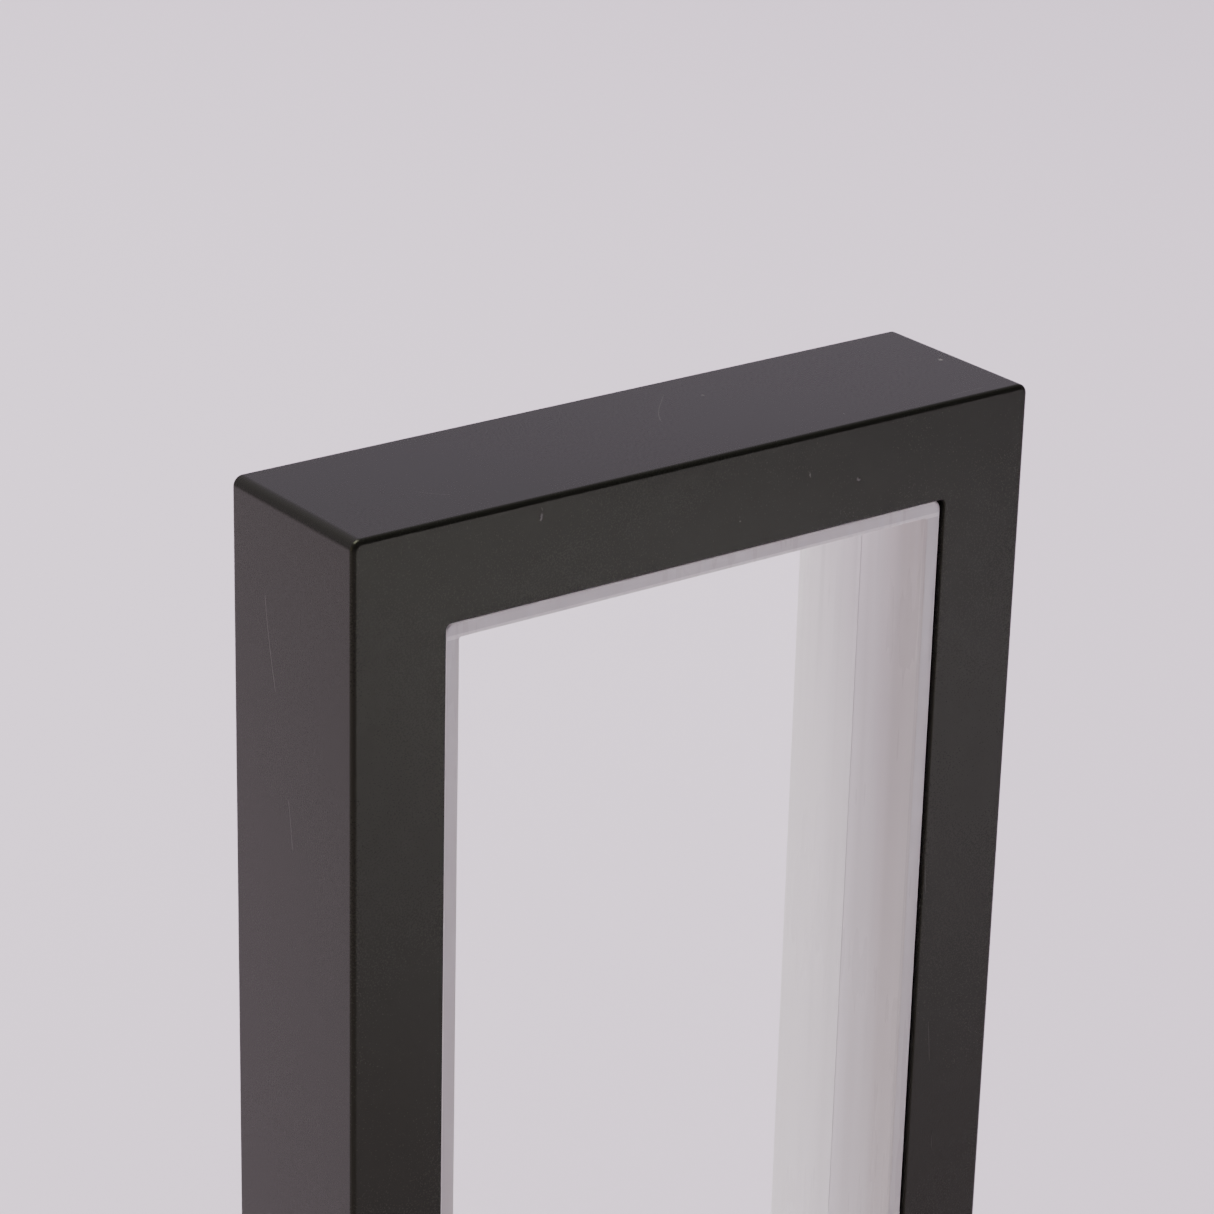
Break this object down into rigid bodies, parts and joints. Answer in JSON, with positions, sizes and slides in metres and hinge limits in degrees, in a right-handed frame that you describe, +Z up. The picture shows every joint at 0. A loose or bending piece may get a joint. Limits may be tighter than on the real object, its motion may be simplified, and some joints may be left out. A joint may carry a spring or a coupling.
{
  "type": "floating display frame",
  "caption": "Upright black display frame that opens at the back like a book and holds a flat or small item between clear elastic films in its opening.",
  "frame": {"origin": "middle of the flat bottom face, centred across the width and the depth", "axes": "+Z up, along the tall side; +X to the right as seen from the front; +Y from the front face to the back; the hinge is at -X"},
  "size_m": [0.09, 0.023, 0.23],
  "materials": {
    "shell": "satin black moulded plastic",
    "liner": "pale grey moulded plastic, semi-gloss",
    "film": "clear elastic film",
    "hoop": "plain black moulded plastic",
    "screw_steel": "zinc-plated steel",
    "magnet_plating": "nickel-plated",
    "pin_steel": "drawn steel wire"
  },
  "bodies": {
    "front_half": {"front_shell": "shell", "front_liner": "liner", "front_film": "film", "front_hoop": "hoop", "front_screws": "screw_steel", "front_magnet_upper": "magnet_plating", "front_magnet_lower": "magnet_plating", "hinge_pin_upper": "pin_steel", "hinge_pin_lower": "pin_steel"},
    "rear_half": {"rear_shell": "shell", "rear_liner": "liner", "rear_film": "film", "rear_hoop": "hoop", "rear_screws": "screw_steel", "rear_magnet_upper": "magnet_plating", "rear_magnet_lower": "magnet_plating"}
  },
  "joints": [
    {"name": "back_hinge", "type": "hinge", "parent": "front_half", "child": "rear_half", "pos_m": [-0.0406, 0.0094, 0.115], "axis": [0, 0, 1], "range_deg": [0, 90]}
  ]
}
